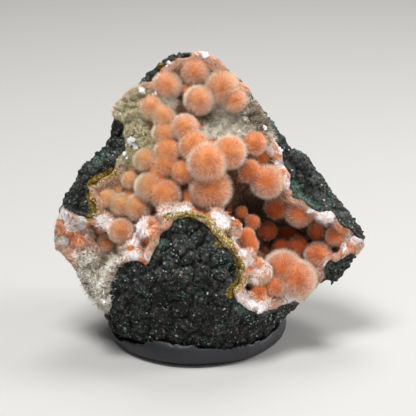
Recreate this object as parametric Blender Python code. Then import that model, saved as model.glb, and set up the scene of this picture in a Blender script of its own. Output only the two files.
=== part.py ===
"""Thomsonite with mesolite: a broken piece of dark basalt whose open hollow is lined with balls of
thomsonite under a fur of mesolite needles. It stands upright in a round pad of dark display putty.

The origin is the centre of the pad's flat underside. +Z is up and the hollow opens towards -Y.

The pieces are laid out as a person sees them from the front, looking down a little: each point is
(right, up, depth) in millimetres. Right and up are measured in the picture plane from its middle,
and depth is the point's own Y, so a larger depth is farther away.
"""

import math

import bmesh
import bpy
import numpy as np
from mathutils import Vector, noise
from mathutils.bvhtree import BVHTree
from mathutils.geometry import delaunay_2d_cdt

MM = 0.001

# The front view that the layout is given in
SIGHT_TILT = math.radians(20)
SIGHT_DISTANCE = 0.5
SIGHT_CENTRE = Vector((0.0026, 0.0, 0.0316))

# Driving dimensions, in metres
CLEARANCE = 0.0003
PAD_RADIUS = 0.0213
PAD_HEIGHT = 0.0052
PAD_EDGE_ROUNDING = 0.0028
PAD_SQUEEZE_HEIGHT = 0.0013
PAD_SQUEEZE_WIDTH = 0.0025
PAD_DENTS = 0.012
CRUST_THICKNESS = 0.0022
CRUST_RIM_WIDTH = 0.0018
CRUST_RIM_PROUD = 0.0006
ROCK_ROUGHNESS = 0.0010
ROCK_SKIN = 0.0005
ROCK_LUMP_SIZE = 0.0060

# Mesh fineness
ROCK_VOXEL = 0.0012
CRUST_VOXEL = 0.0006
ROCK_TRIANGLES = 3000
CRUST_TRIANGLES = 5000
PAD_EDGE_STEPS = 6
PAD_TOP_RINGS = 4
PAD_SIDES = 40
SHARP_EDGE = math.radians(35)

# The rock is a few blocks that broke as one. Corners: (right, up, depth)
CROWN = [
    (-3.3, 36.8, 9), (-0.2, 36.0, 9), (3.3, 33.4, 8), (6.5, 30.8, 8), (8.8, 28.3, 7), (12.4, 24.1, 6),
    (16.1, 19.2, 5), (18.2, 16.1, 4), (-6.6, 36.7, 9), (-9.9, 35.6, 9), (-12.0, 33.8, 8),
    (-16.1, 28.3, 7), (-18.7, 26.6, 6), (-21.0, 24.3, 5), (-21.7, 21.4, 5), (-23.0, 18.7, 4),
    (-23.6, 16.1, 3), (-4.0, 33.0, 14), (4.0, 27.0, 16), (-14.0, 25.0, 15), (12.0, 16.0, 20),
    (-18.0, 14.0, 17), (0.0, 14.0, 22), (0.0, 2.0, 22), (-13.0, 2.0, 19), (12.0, 3.0, 20),
    (-4.0, 9.0, -6), (-14.0, 8.0, -5), (10.0, 8.0, -4), (18.0, 6.0, -1), (-22.0, 6.0, -2),
]
LEFT_SHOULDER = [
    (-23.6, 16.1, 3), (-26.6, 12.4, 2), (-29.4, 9.8, 2), (-30.4, 5.1, 1), (-32.9, 2.3, -1),
    (-34.5, 0.7, -1), (-34.0, -2.0, -2), (-26.0, 9.0, -3), (-28.0, 1.0, -5), (-27.0, -3.0, -6),
    (-22.0, 12.0, 1), (-14.0, 2.0, 18), (-22.0, 5.0, 15), (-27.0, -4.0, 11), (-16.0, 14.0, 15),
    (-20.0, -8.0, 15),
]
LEFT_CORNER = [
    (-34.5, 0.2, -2), (-35.6, -5.8, -3), (-35.3, -9.1, -3), (-32.5, -11.7, -4), (-29.4, -15.0, -5),
    (-28.5, -18.7, -6), (-25.9, -21.5, -8), (-25.4, -24.5, -9), (-27.0, -3.0, -7),
    (-24.0, -12.0, -11), (-22.0, -21.0, -13), (-26.0, -8.0, 9), (-22.0, -12.0, 15), (-20.0, -19.0, 12),
    (-12.0, -4.0, 16), (-12.0, -14.0, -12),
]
RIGHT_WING = [
    (17.5, 16.4, 4), (21.5, 14.0, 4), (22.7, 10.3, 3), (25.9, 7.0, 3), (29.2, 3.3, 2), (32.9, 0.0, 1),
    (35.0, -4.0, 0), (36.4, -7.2, -1), (35.6, -9.8, -2), (34.1, -11.7, -2), (31.8, -15.0, -3),
    (29.2, -17.5, -4), (26.0, -0.5, -4), (30.0, -2.0, -5), (20.0, 4.0, -3), (26.0, -15.0, -8),
    (31.0, -11.0, -6), (28.0, -9.0, 9), (24.0, 2.0, 14), (18.0, 9.0, 14), (20.0, -13.0, 16),
    (6.0, 0.0, 12), (8.0, -16.0, 10),
]
BODY = [
    (-4.2, -2.0, -16), (-8.5, -3.0, -15.5), (0.5, -4.5, -16.5), (-12.5, -9.0, -17), (5.5, -9.5, -17.5),
    (8.0, -15.5, -18), (-4.0, -17.0, -23.5), (-13.0, -17.0, -21), (3.0, -22.0, -23.5),
    (-22.5, -17.5, -15), (-22.5, -25.0, -14), (-18.7, -27.0, -15), (12.5, -24.5, -18), (18.5, -22.0, -13),
    (22.7, -20.5, -7), (19.4, -24.1, -8), (16.1, -26.6, -9), (-23.6, -26.0, -8), (24.5, -16.0, -6),
    (26.0, -12.0, 4), (-28.0, -12.0, 2), (-24.0, -8.0, 13), (20.0, -8.0, 17), (-1.0, 12.0, 21),
    (-14.0, 8.0, 17), (13.0, 9.0, 18), (0.0, -9.0, 24), (-15.0, -13.0, 20), (15.0, -13.0, 19),
    (14.0, 6.0, 0), (-20.0, 6.0, 0),
]
# Where the rock goes down into the pad, in plain X, Y, Z millimetres
FOOT = [
    (-19, -9, 3.2), (-13, -15, 3.4), (-4, -18, 3.2), (6, -18.5, 3.2), (13, -15, 3.4), (16, -7, 3.2),
    (16, 6, 3.4), (9, 15, 3.2), (-4, 17, 3.4), (-14, 12, 3.2), (-19, 2, 3.4),
]

# The edge of the crust, clockwise from the top. A point at "wall" lies against the basalt, and at
# "side" the crust runs out at the side of the rock. (right, up, where)
CRUST_EDGE = [
    (-6.5, 35.3, "wall"), (-4.0, 36.2, "wall"), (-0.2, 36.0, "side"), (3.3, 33.4, "side"),
    (6.5, 30.8, "side"), (8.8, 28.3, "side"), (9.8, 26.6, "wall"), (11.7, 23.4, "wall"),
    (14.0, 19.4, "wall"), (15.7, 15.9, "wall"), (17.3, 13.6, "wall"), (18.0, 10.0, "wall"),
    (19.6, 7.7, "wall"), (19.3, 5.4, "wall"), (19.9, 2.6, "wall"), (22.2, 1.9, "wall"),
    (24.3, 0.2, "wall"), (25.7, -0.7, "wall"), (28.0, -0.4, "wall"), (29.7, -1.2, "wall"),
    (31.3, -4.0, "wall"), (33.2, -4.7, "wall"), (34.8, -6.6, "wall"), (36.2, -8.6, "side"),
    (35.0, -10.4, "side"), (33.4, -10.6, "wall"), (30.4, -12.6, "wall"), (28.5, -12.6, "wall"),
    (27.3, -14.5, "wall"), (26.2, -16.6, "side"), (24.6, -18.6, "side"), (22.6, -20.8, "side"),
    (19.9, -22.0, "wall"), (18.0, -22.7, "wall"), (15.7, -23.6, "wall"), (12.6, -25.0, "wall"),
    (8.6, -23.6, "wall"), (6.3, -21.7, "wall"), (5.4, -19.2, "wall"), (7.0, -17.5, "wall"),
    (7.5, -15.7, "wall"), (6.8, -12.6, "wall"), (5.6, -9.8, "wall"), (3.3, -9.1, "wall"),
    (2.3, -7.5, "wall"), (0.0, -4.9, "wall"), (-1.9, -3.0, "wall"), (-4.2, -2.3, "wall"),
    (-6.5, -2.6, "wall"), (-8.2, -3.3, "wall"), (-8.9, -4.9, "wall"), (-11.0, -6.3, "wall"),
    (-11.2, -8.2, "wall"), (-12.4, -9.8, "wall"), (-13.6, -12.6, "wall"), (-14.4, -13.8, "wall"),
    (-15.9, -12.6, "wall"), (-17.8, -12.4, "wall"), (-19.4, -13.1, "wall"), (-21.0, -14.0, "wall"),
    (-22.2, -16.8, "wall"), (-23.4, -18.7, "wall"), (-22.9, -20.3, "wall"), (-22.2, -22.2, "wall"),
    (-22.4, -24.0, "wall"), (-24.6, -23.0, "side"), (-25.9, -21.5, "side"), (-28.5, -18.7, "side"),
    (-29.4, -15.0, "side"), (-32.5, -11.7, "side"), (-35.3, -9.1, "side"), (-35.6, -5.8, "side"),
    (-34.5, -2.0, "side"), (-34.0, 0.2, "wall"), (-31.1, -1.2, "wall"), (-28.7, -1.9, "wall"),
    (-27.1, -2.1, "wall"), (-26.2, -0.9, "wall"), (-26.4, 0.7, "wall"), (-27.6, 1.9, "wall"),
    (-28.0, 3.7, "wall"), (-28.0, 5.6, "wall"), (-25.7, 6.5, "wall"), (-23.4, 7.7, "wall"),
    (-22.0, 9.3, "wall"), (-21.7, 11.7, "wall"), (-19.4, 13.1, "wall"), (-19.6, 15.9, "wall"),
    (-19.6, 19.4, "wall"), (-21.0, 20.6, "wall"), (-21.9, 22.2, "side"), (-21.0, 24.3, "side"),
    (-18.7, 26.6, "side"), (-16.1, 28.3, "side"), (-13.3, 29.4, "side"), (-11.4, 31.8, "side"),
    (-10.5, 33.2, "wall"), (-8.9, 34.3, "wall"),
]

# How deep the hollow's wall lies behind each place. (right, up, depth)
HOLLOW_WALL = [
    (-3.0, 31.8, 10), (-9.6, 28.5, 9), (5.1, 26.4, 8), (-2.1, 25.2, 6), (-11.2, 22.4, 4.5),
    (2.8, 21.7, 6), (-5.4, 18.7, 2), (11.0, 20.6, 4.5), (-1.9, 12.4, -2), (5.1, 13.1, -1),
    (11.0, 15.2, 3), (9.8, 8.6, 1), (-5.8, 8.4, -2), (13.8, 6.1, 2), (0.7, 4.4, -2.5),
    (-10.0, 11.2, 0), (-14.7, 11.2, 1), (-18.2, 6.5, 1), (-13.6, 4.9, -2), (-10.0, 3.0, -3.5),
    (-19.4, 0.7, -1), (-20.3, -5.4, -5), (-23.6, -8.2, -2), (-29.9, -7.5, -1.5), (-26.4, -16.8, -5),
    (-4.2, 0.0, -6), (6.3, 4.2, 4), (8.6, 0.7, 8), (16.1, -0.7, 5), (21.0, -1.9, 3),
    (14.5, -5.0, 12), (19.2, -7.0, 12), (11.0, -7.5, -1), (25.7, -5.6, 4), (29.9, -6.3, 1),
    (25.2, -10.7, 1), (19.2, -15.2, -4), (12.6, -19.9, -9.5), (15.9, -18.5, -8), (33.2, -8.2, 0),
    (-14.0, -8.5, -11), (-17.0, -11.0, -10), (9.5, -13.5, -10), (-21.0, 16.0, 2), (-17.0, 24.0, 5),
]

# The balls of thomsonite out to the tips of their needles. (right, up, depth, radius)
BALLS = [
    (-3.0, 31.8, 8, 3.5), (-9.6, 28.5, 6, 3.5), (3.3, 28.0, 6, 4.2), (6.3, 25.0, 4, 3.0),
    (-2.1, 25.2, 3, 3.5), (-13.1, 23.4, 3, 3.0), (-10.3, 21.3, 1, 2.8), (-5.4, 18.7, -1, 3.3),
    (-10.0, 17.3, 1, 2.6), (-9.6, 13.4, -3, 3.1), (-9.8, 10.4, -3.5, 3.1), (-11.2, 8.2, -3, 3.0),
    (-3.3, 14.5, -4, 3.7), (-0.2, 10.7, -8, 4.6), (5.1, 13.1, -5, 4.0), (11.0, 15.2, 0, 2.9),
    (9.8, 8.6, -2, 2.9), (-5.8, 8.4, -5, 2.8), (13.8, 6.1, -2, 4.0), (0.7, 4.4, -7, 4.9),
    (-14.7, 11.2, -2, 2.8), (-18.2, 6.5, -2, 2.1), (-13.6, 4.9, -5, 3.5), (-10.0, 3.0, -7, 3.7),
    (-20.1, 0.7, -4, 2.8), (-16.4, 0.0, -5, 3.3), (-20.3, -5.4, -8, 3.0), (-23.6, -8.2, -4, 2.3),
    (-23.4, 2.3, -3, 2.3), (15.9, 0.0, 1, 3.0), (21.3, -1.4, -1, 3.3), (25.2, -5.6, 1, 2.1),
    (29.7, -6.5, -2, 2.4), (25.7, -11.0, -3, 3.3), (17.5, -14.5, -8, 4.7), (20.8, -16.6, -10, 4.6),
    (11.9, -19.4, -14, 2.0), (15.6, -18.5, -13, 2.4), (9.1, -6.5, -8, 2.1), (10.0, -8.6, -9, 2.1),
    (12.6, -6.8, 5, 2.3), (19.2, -7.0, 8, 4.2), (7.9, -0.9, -3, 1.6), (10.5, -3.3, -4, 1.9),
]

# Lumps along the crust's edge that broke through when the rock was split. (right, up, depth, radius)
BROKEN_LUMPS = [
    (2.3, -2.8, -13.5, 2.8), (5.8, -4.9, -12.5, 2.5), (-5.4, -0.9, -12, 2.4), (-9.2, -0.9, -11, 2.6),
    (-13.8, -4.6, -12, 3.0), (-17.8, -9.6, -11.5, 2.7), (11.9, -15.0, -13, 3.1), (9.4, -11.4, -13, 2.0),
    (9.2, -21.4, -17, 2.0), (13.2, -22.6, -16, 1.9), (18.2, -20.4, -12, 2.0), (27.4, -1.6, -4.5, 2.0),
    (32.4, -7.4, -2.5, 2.2), (18.4, 3.6, 0, 1.9), (17.2, 10.6, 2, 1.8), (22.9, -0.4, -2.5, 1.7),
    (-24.1, -3.3, -6, 2.1), (-29.5, -6.6, -3.5, 2.9), (-32.4, -3.6, -3, 2.4), (-27.6, -10.4, -5.5, 2.5),
    (-25.2, -15.4, -7, 2.6), (-24.4, -19.6, -9.5, 2.2), (-20.2, 15.0, 1.5, 1.7), (-18.0, 20.4, 3, 2.4),
    (-24.8, 3.8, -2, 1.6), (-16.0, 26.2, 5.5, 2.2), (4.6, 30.6, 8, 1.9), (26.6, -14.6, -5, 1.7),
]

LOOK = Vector((0, math.cos(SIGHT_TILT), -math.sin(SIGHT_TILT)))
SIGHT_UP = Vector((0, math.sin(SIGHT_TILT), math.cos(SIGHT_TILT)))
EYE = SIGHT_CENTRE - LOOK * SIGHT_DISTANCE

# Sizes in the front view's millimetres
FAR_IN_FRONT = -60.0
HOLLOW_CELL = 2.6
WALL_SMOOTHING = 1.5
OPEN_SIDE_REACH = 3.0
TRIM_SPARE = 1.0
RIM_SPARE = 0.5


def clear_scene():
    for obj in list(bpy.data.objects):
        bpy.data.objects.remove(obj)


def seen(right, up, depth):
    """The point, in metres, that the front view shows at right, up and that lies at a depth."""
    aim = SIGHT_CENTRE + Vector((right * MM, 0, 0)) + SIGHT_UP * (up * MM)
    share = (depth * MM - EYE.y) / (aim.y - EYE.y)
    return EYE + (aim - EYE) * share


def plain_material(name, colour, roughness):
    material = bpy.data.materials.new(name)
    material.use_nodes = True
    shader = material.node_tree.nodes["Principled BSDF"]
    shader.inputs["Base Color"].default_value = (*colour, 1)
    shader.inputs["Roughness"].default_value = roughness
    shader.inputs["Metallic"].default_value = 0
    return material


def object_of(name, bm):
    """A closed bmesh as an object, its faces turned outwards."""
    bmesh.ops.recalc_face_normals(bm, faces=bm.faces)
    mesh = bpy.data.meshes.new(name)
    bm.to_mesh(mesh)
    bm.free()
    obj = bpy.data.objects.new(name, mesh)
    bpy.context.scene.collection.objects.link(obj)
    return obj


def apply_modifiers(obj):
    graph = bpy.context.evaluated_depsgraph_get()
    mesh = bpy.data.meshes.new_from_object(obj.evaluated_get(graph))
    obj.modifiers.clear()
    obj.data = mesh
    return obj


def remeshed(obj, voxel):
    """One skin round everything in the object."""
    remesh = obj.modifiers.new("one skin", "REMESH")
    remesh.mode = "VOXEL"
    remesh.voxel_size = voxel
    return apply_modifiers(obj)


def thinned(obj, triangles):
    """The same shape with about this many triangles."""
    obj.data.calc_loop_triangles()
    thin = obj.modifiers.new("fewer faces", "DECIMATE")
    thin.ratio = triangles / len(obj.data.loop_triangles)
    thin.use_collapse_triangulate = True
    return apply_modifiers(obj)


def combined(obj, other, operation):
    cut = obj.modifiers.new(operation.lower(), "BOOLEAN")
    cut.operation = operation
    cut.solver = "EXACT"
    cut.object = other
    return apply_modifiers(obj)


def removed(*objects):
    for obj in objects:
        bpy.data.objects.remove(obj)


def grown(obj, distance):
    """A copy whose surface lies a distance outside the first one's."""
    copy = obj.copy()
    copy.data = obj.data.copy()
    bpy.context.scene.collection.objects.link(copy)
    normals = [vertex.normal.copy() for vertex in copy.data.vertices]
    for vertex, normal in zip(copy.data.vertices, normals):
        vertex.co += normal * distance
    return copy


def add_hull(bm, points):
    corners = [bm.verts.new(point) for point in points]
    made = bmesh.ops.convex_hull(bm, input=corners)
    unused = {item for key in ("geom_interior", "geom_unused") for item in made[key]}
    loose = [item for item in unused if isinstance(item, bmesh.types.BMVert)]
    bmesh.ops.delete(bm, geom=list(set(loose)), context="VERTS")


def rough_rock():
    """The whole rock before its hollow: blocks run together, their surface broken and lumpy."""
    bm = bmesh.new()
    foot = [Vector(point) * MM for point in FOOT]
    add_hull(bm, [seen(*corner) for corner in BODY] + foot)
    for block in (CROWN, LEFT_SHOULDER, LEFT_CORNER, RIGHT_WING):
        add_hull(bm, [seen(*corner) for corner in block])
    rock = remeshed(object_of("basalt_matrix", bm), ROCK_VOXEL)
    for vertex in rock.data.vertices:
        place = vertex.co / ROCK_LUMP_SIZE
        lump = noise.fractal(place, 1.0, 2.0, 3)
        vertex.co += vertex.normal * (lump * ROCK_ROUGHNESS + ROCK_SKIN)
    return thinned(rock, ROCK_TRIANGLES)


def wall_depth(right, up):
    """The depth of the hollow's wall at a place in the front view, smoothly between the given ones."""
    given = np.array(HOLLOW_WALL)
    away = (given[:, 0] - right) ** 2 + (given[:, 1] - up) ** 2
    weight = 1 / (away + WALL_SMOOTHING) ** 2
    return float((weight * given[:, 2]).sum() / weight.sum())


def outward(outline):
    """At each point of a clockwise outline, the unit vector that points out of it."""
    points = np.array(outline)
    along = np.roll(points, -1, axis=0) - np.roll(points, 1, axis=0)
    along /= np.linalg.norm(along, axis=1)[:, None]
    return np.stack([-along[:, 1], along[:, 0]], axis=1)


def crust_outline(moved=0.0, side_reach=0.0):
    """The crust's edge in the front view, moved outwards, and farther out where it ends at a side."""
    points = np.array([(right, up) for right, up, _ in CRUST_EDGE])
    reach = np.array([side_reach if where == "side" else 0.0 for _, _, where in CRUST_EDGE])
    return points + outward(points) * (reach + moved)[:, None]


def inside(point, outline):
    """Whether a point of the front view lies inside an outline."""
    x, y = point
    x1, y1 = outline[:, 0], outline[:, 1]
    x2, y2 = np.roll(x1, -1), np.roll(y1, -1)
    spans = (y1 > y) != (y2 > y)
    with np.errstate(divide="ignore", invalid="ignore"):
        crossing = x1 + (y - y1) * (x2 - x1) / (y2 - y1)
    return bool(np.count_nonzero(spans & (x < crossing)) % 2)


def front_grid():
    """Places over the crust in the front view, its outline first, and the triangles between them."""
    outline = crust_outline()
    low, high = outline.min(axis=0), outline.max(axis=0)
    places = [tuple(point) for point in outline]
    for right in np.arange(low[0], high[0], HOLLOW_CELL):
        for up in np.arange(low[1], high[1], HOLLOW_CELL):
            near = np.hypot(outline[:, 0] - right, outline[:, 1] - up).min()
            if near > HOLLOW_CELL / 2 and inside((right, up), outline):
                places.append((right, up))
    count = len(outline)
    rim = [(i, (i + 1) % count) for i in range(count)]
    flat = [Vector(place) for place in places]
    _, _, faces, *_ = delaunay_2d_cdt(flat, rim, [list(range(count))], 1, 1e-6)
    return places, rim, faces


def sight_prism(outline, front, back):
    """A solid with an outline in the front view, between two depths that are functions of the place."""
    places, rim, faces = front_grid()
    places[: len(rim)] = outline
    bm = bmesh.new()
    sheets = []
    for depth in (front, back):
        sheets.append([bm.verts.new(seen(right, up, depth(right, up))) for right, up in places])
    for face in faces:
        bm.faces.new([sheets[0][i] for i in face])
        bm.faces.new([sheets[1][i] for i in reversed(face)])
    for a, b in rim:
        bm.faces.new([sheets[0][a], sheets[1][a], sheets[1][b], sheets[0][b]])
    return bm


def hollow(shrunk):
    """The space of the hollow and all that lies in front of it."""
    outline = crust_outline(moved=-shrunk, side_reach=OPEN_SIDE_REACH)

    def front(_right, _up):
        return FAR_IN_FRONT

    def back(right, up):
        return wall_depth(right, up) - shrunk

    return object_of("hollow", sight_prism(outline, front, back))


def crust_floor(bm):
    """The layer that covers the hollow's wall, running a little into it until it is trimmed."""
    def front(right, up):
        return wall_depth(right, up) - CRUST_THICKNESS / MM

    def back(right, up):
        return wall_depth(right, up) + TRIM_SPARE

    layer = sight_prism(crust_outline(), front, back)
    mesh = bpy.data.meshes.new("layer")
    layer.to_mesh(mesh)
    layer.free()
    bm.from_mesh(mesh)
    bpy.data.meshes.remove(mesh)


def rock_depth_at(tree, right, up):
    """The depth at which a line of sight first meets the rock."""
    aim = seen(right, up, 0) - EYE
    place, *_ = tree.ray_cast(EYE, aim)
    return place.y / MM if place else None


def crust_rim(bm, rock):
    """The broken edge of the crust, which climbs the hollow's wall to the face of the rock."""
    tree = BVHTree.FromObject(rock, bpy.context.evaluated_depsgraph_get())
    outer = crust_outline(moved=RIM_SPARE)
    inner = crust_outline(moved=-CRUST_RIM_WIDTH / MM)
    rings = []
    for (out_right, out_up), (in_right, in_up), (right, up, where) in zip(outer, inner, CRUST_EDGE):
        back = wall_depth(right, up) + TRIM_SPARE
        front = wall_depth(right, up) - CRUST_THICKNESS / MM
        hit = rock_depth_at(tree, out_right, out_up)
        if where == "wall" and hit is not None:
            front = min(front, hit - CRUST_RIM_PROUD / MM)
        rings.append(
            [
                bm.verts.new(seen(out_right, out_up, front)),
                bm.verts.new(seen(in_right, in_up, front)),
                bm.verts.new(seen(in_right, in_up, back)),
                bm.verts.new(seen(out_right, out_up, back)),
            ]
        )
    for ring, following in zip(rings, rings[1:] + rings[:1]):
        for side in range(4):
            turn = (side + 1) % 4
            bm.faces.new([ring[side], ring[turn], following[turn], following[side]])


def crust(rock):
    """The lining of the hollow: its layer, its broken edge and the balls that stand on it."""
    bm = bmesh.new()
    crust_floor(bm)
    crust_rim(bm, rock)
    for right, up, depth, radius in BALLS + BROKEN_LUMPS:
        made = bmesh.ops.create_icosphere(bm, subdivisions=3, radius=radius * MM)
        bmesh.ops.translate(bm, verts=made["verts"], vec=seen(right, up, depth))
    lining = remeshed(object_of("thomsonite_mesolite_crust", bm), CRUST_VOXEL)
    return thinned(lining, CRUST_TRIANGLES)


def pad_profile():
    """Half the section of the pad, from the middle of its underside to the middle of its top."""
    straight = PAD_RADIUS - PAD_EDGE_ROUNDING
    profile = [Vector((0, 0, 0)), Vector((straight, 0, 0))]
    for step in range(1, PAD_EDGE_STEPS + 1):
        angle = math.pi * step / PAD_EDGE_STEPS
        out = straight + PAD_EDGE_ROUNDING * math.sin(angle)
        profile.append(Vector((out, 0, PAD_HEIGHT * (1 - math.cos(angle)) / 2)))
    for step in range(1, PAD_TOP_RINGS):
        profile.append(Vector((straight * (1 - step / PAD_TOP_RINGS), 0, PAD_HEIGHT)))
    profile.append(Vector((0, 0, PAD_HEIGHT)))
    return profile


def press_by_hand(bm, rock):
    """Takes the pad a little out of round above its flat underside, and squeezes it up at the rock."""
    tree = BVHTree.FromObject(rock, bpy.context.evaluated_depsgraph_get())
    for vertex in bm.verts:
        height = vertex.co.z / PAD_HEIGHT
        if height < 0.01:
            continue
        away = tree.find_nearest(vertex.co)[3]
        vertex.co.z += height**2 * PAD_SQUEEZE_HEIGHT * math.exp(-((away / PAD_SQUEEZE_WIDTH) ** 2))
        dent = 1 + PAD_DENTS * noise.noise(vertex.co / PAD_RADIUS * 2)
        vertex.co.x *= dent
        vertex.co.y *= dent


def pad(rock):
    """A round of putty, flat underneath and pressed against the foot of the rock."""
    bm = bmesh.new()
    corners = [bm.verts.new(point) for point in pad_profile()]
    edges = [bm.edges.new(pair) for pair in zip(corners, corners[1:])]
    turn = {"cent": (0, 0, 0), "axis": (0, 0, 1), "angle": 2 * math.pi, "steps": PAD_SIDES}
    bmesh.ops.spin(bm, geom=corners + edges, **turn)
    bmesh.ops.remove_doubles(bm, verts=bm.verts, dist=1e-6)
    press_by_hand(bm, rock)
    return object_of("putty_pad", bm)


def finish(obj, material):
    obj.data.materials.clear()
    obj.data.materials.append(material)
    obj.data.shade_smooth()
    obj.data.set_sharp_from_angle(angle=SHARP_EDGE)


def build():
    clear_scene()
    rock = rough_rock()
    lining = crust(rock)
    cutter = hollow(0.0)
    trimmer = hollow(CLEARANCE / MM)
    combined(rock, cutter, "DIFFERENCE")
    combined(lining, trimmer, "INTERSECT")
    base = pad(rock)
    press = grown(rock, CLEARANCE)
    combined(base, press, "DIFFERENCE")
    removed(cutter, trimmer, press)
    finish(rock, plain_material("basalt", (0.030, 0.033, 0.033), 0.85))
    finish(lining, plain_material("thomsonite and mesolite", (0.75, 0.36, 0.17), 0.75))
    finish(base, plain_material("dark putty", (0.030, 0.030, 0.033), 0.6))


build()
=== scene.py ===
"""The looks of a piece of basalt with thomsonite balls and mesolite needles in its hollow, on a putty pad."""

import math
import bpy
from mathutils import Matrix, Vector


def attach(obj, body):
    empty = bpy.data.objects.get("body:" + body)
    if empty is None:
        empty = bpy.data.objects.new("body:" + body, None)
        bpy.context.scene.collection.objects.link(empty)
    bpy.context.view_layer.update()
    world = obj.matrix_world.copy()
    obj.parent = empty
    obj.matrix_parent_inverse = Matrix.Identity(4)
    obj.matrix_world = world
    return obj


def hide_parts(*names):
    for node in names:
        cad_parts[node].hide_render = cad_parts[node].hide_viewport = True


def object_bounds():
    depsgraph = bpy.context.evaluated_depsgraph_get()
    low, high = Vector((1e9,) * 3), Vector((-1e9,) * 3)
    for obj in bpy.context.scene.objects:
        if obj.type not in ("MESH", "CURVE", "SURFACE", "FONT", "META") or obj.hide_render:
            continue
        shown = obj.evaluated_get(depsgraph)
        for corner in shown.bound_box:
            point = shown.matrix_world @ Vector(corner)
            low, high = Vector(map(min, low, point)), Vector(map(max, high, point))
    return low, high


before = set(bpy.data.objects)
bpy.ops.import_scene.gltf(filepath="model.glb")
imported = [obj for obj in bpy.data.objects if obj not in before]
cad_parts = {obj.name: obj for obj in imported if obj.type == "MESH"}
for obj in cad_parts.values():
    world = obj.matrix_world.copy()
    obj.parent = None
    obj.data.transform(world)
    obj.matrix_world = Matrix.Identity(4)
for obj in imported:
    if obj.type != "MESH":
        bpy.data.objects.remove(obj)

from types import SimpleNamespace

import bmesh
import bpy
import numpy as np
from mathutils import Matrix, Vector, noise
from mathutils.bvhtree import BVHTree

CAD_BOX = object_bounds()
MM = 0.001

# The front view, in which the layout below is measured in millimetres from its middle
TILT = math.radians(20)
DISTANCE = 0.5
CENTRE = np.array([0.0026, 0.0, 0.0316])
LOOK = np.array([0.0, math.cos(TILT), -math.sin(TILT)])
UP = np.array([0.0, math.sin(TILT), math.cos(TILT)])
EYE = CENTRE - LOOK * DISTANCE
VIEW_WIDTH = 0.0972
SENSOR = 36.0

# Balls of thomsonite out to their needles' tips: (right, up, depth, radius)
BALLS = [
    (-3.0, 31.8, 8, 3.5), (-9.6, 28.5, 6, 3.5), (3.3, 28.0, 6, 4.2), (6.3, 25.0, 4, 3.0),
    (-2.1, 25.2, 3, 3.5), (-13.1, 23.4, 3, 3.0), (-10.3, 21.3, 1, 2.8), (-5.4, 18.7, -1, 3.3),
    (-10.2, 17.5, -0.6, 2.9), (-9.6, 13.4, -3, 3.1), (-9.8, 10.4, -3.5, 3.1), (-11.2, 8.2, -3, 3.0),
    (-3.3, 14.5, -4, 3.7), (-0.2, 10.7, -8, 4.6), (5.1, 13.1, -5, 4.0), (11.0, 15.2, 0, 2.9),
    (9.8, 8.6, -2, 2.9), (-5.8, 8.4, -5, 2.8), (13.8, 6.1, -2, 4.0), (0.7, 4.4, -7, 4.9),
    (-14.7, 11.2, -2, 2.8), (-18.2, 6.5, -2, 2.1), (-13.6, 4.9, -5, 3.5), (-10.0, 3.0, -7, 3.7),
    (-20.1, 0.7, -4, 2.8), (-16.4, 0.0, -5, 3.3), (-20.3, -5.4, -8, 3.0), (-23.6, -8.2, -4, 2.3),
    (-23.4, 2.3, -3, 2.3), (15.9, 0.0, 1, 3.0), (21.3, -1.4, -1, 3.3), (25.2, -5.6, 1, 2.1),
    (29.7, -6.5, -2, 2.4), (25.7, -11.0, -3, 3.3), (17.5, -14.5, -8, 4.7), (20.8, -16.6, -10, 4.6),
    (11.9, -19.4, -14, 2.0), (15.6, -18.5, -13, 2.4), (9.1, -6.5, -8, 2.1), (10.0, -8.6, -9, 2.1),
    (12.6, -6.8, 5, 2.3), (19.2, -7.0, 8, 4.2), (7.9, -0.9, -3, 1.6), (10.5, -3.3, -4, 1.9),
]

# Lumps that broke through along the crust's edge: (right, up, depth, radius)
BROKEN = [
    (2.3, -2.8, -13.5, 2.8), (5.8, -4.9, -12.5, 2.5), (-5.4, -0.9, -12, 2.4), (-9.2, -0.9, -11, 2.6),
    (-13.8, -4.6, -12, 3.0), (-17.8, -9.6, -11.5, 2.7), (11.9, -15.0, -13, 3.1), (9.4, -11.4, -13, 2.0),
    (9.2, -21.4, -17, 2.0), (13.2, -22.6, -16, 1.9), (18.2, -20.4, -12, 2.0), (27.4, -1.6, -4.5, 2.0),
    (32.4, -7.4, -2.5, 2.2), (18.4, 3.6, 0, 1.9), (17.2, 10.6, 2, 1.8), (22.9, -0.4, -2.5, 1.7),
    (-24.1, -3.3, -6, 2.1), (-29.5, -6.6, -3.5, 2.9), (-32.4, -3.6, -3, 2.4), (-27.6, -10.4, -5.5, 2.5),
    (-25.2, -15.4, -7, 2.6), (-24.4, -19.6, -9.5, 2.2), (-20.2, 15.0, 1.5, 1.7), (-18.0, 20.4, 3, 2.4),
    (-24.8, 3.8, -2, 1.6), (-16.0, 26.2, 5.5, 2.2), (4.6, 30.6, 8, 1.9), (26.6, -14.6, -5, 1.7),
]

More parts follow.
